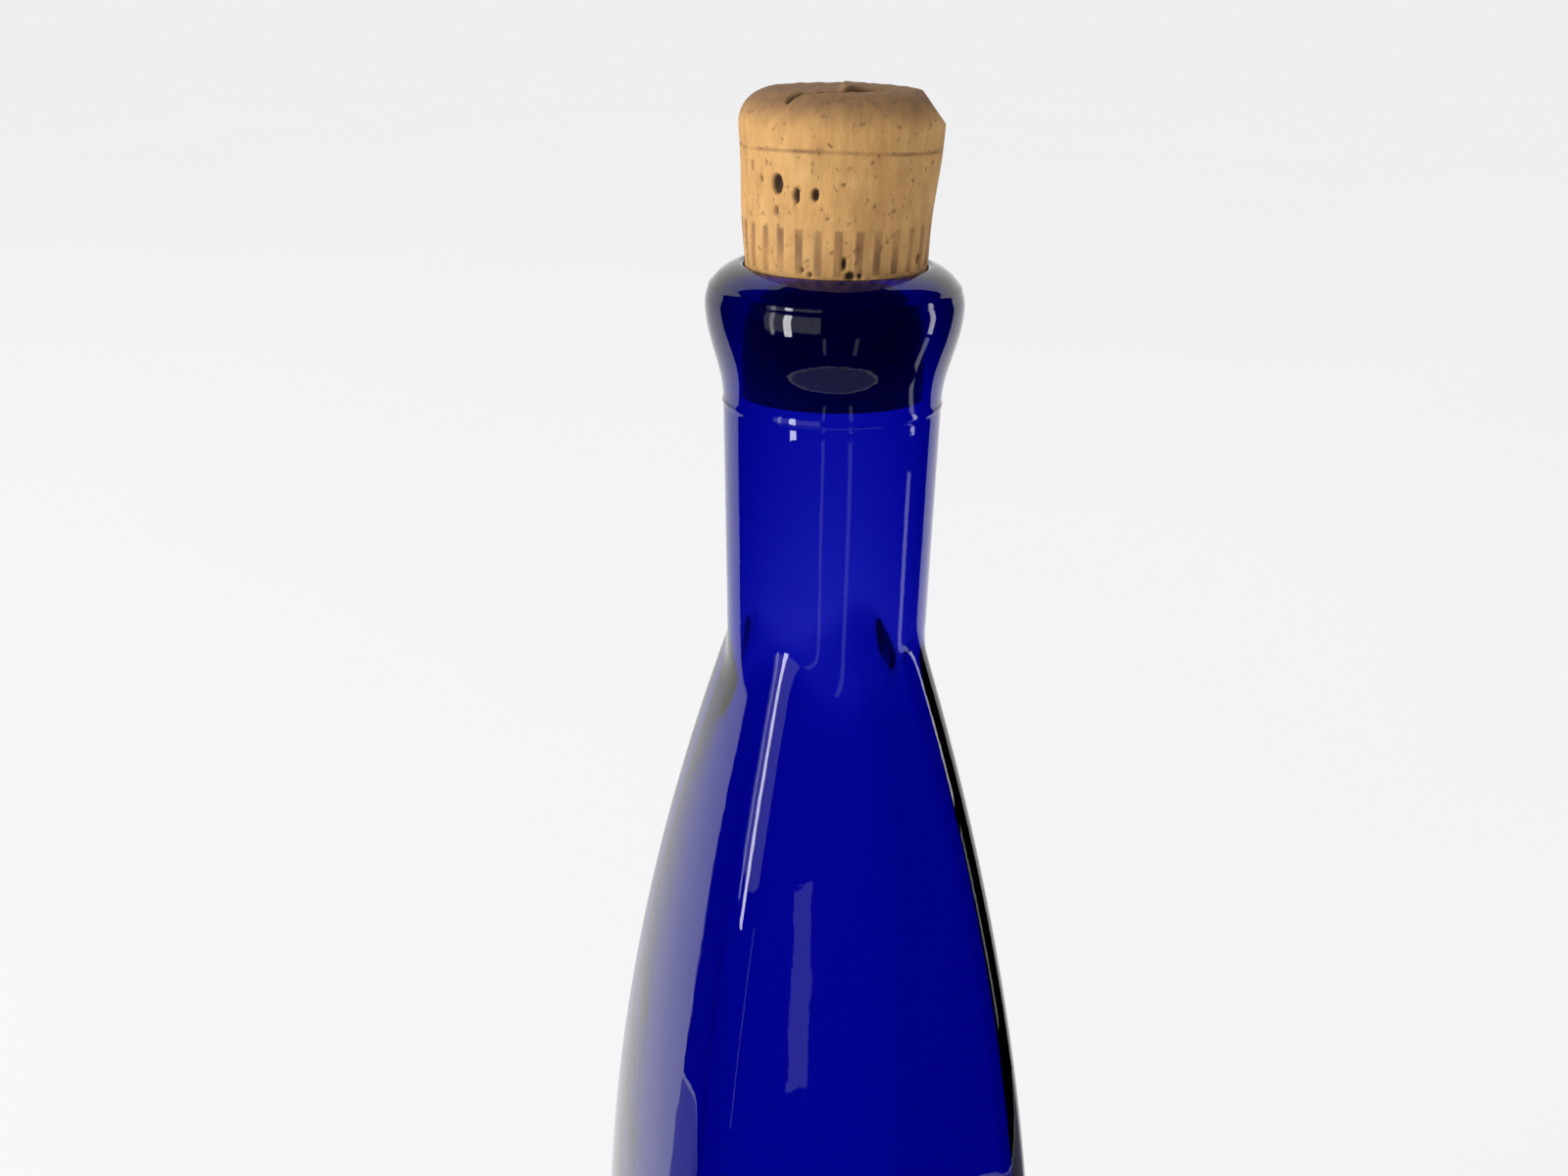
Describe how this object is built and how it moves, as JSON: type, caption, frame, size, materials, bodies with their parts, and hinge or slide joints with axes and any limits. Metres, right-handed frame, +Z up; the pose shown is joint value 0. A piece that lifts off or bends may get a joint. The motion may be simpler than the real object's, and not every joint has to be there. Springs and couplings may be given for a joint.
{
  "type": "square glass bottle with cork",
  "caption": "Tall square bottle of moulded cobalt glass with a round neck, a rounded collar and a natural cork that pulls out of the bore.",
  "frame": {"origin": "centre of the base, on the plane that the bottle stands on", "axes": "+Z up along the bottle's axis; the body's four bowed faces look along X and Y, and the pictured edge points to -X -Y"},
  "size_m": [0.058, 0.058, 0.2657],
  "materials": {
    "cobalt_glass": "gloss",
    "cork": "matte"
  },
  "bodies": {
    "bottle": {"glass_bottle": "cobalt_glass"},
    "cork": {"cork_stopper": "cork"}
  },
  "joints": [
    {"name": "cork_pull", "type": "slide", "parent": "bottle", "child": "cork", "axis": [0, 0, 1], "range_m": [0, 0.04]}
  ]
}
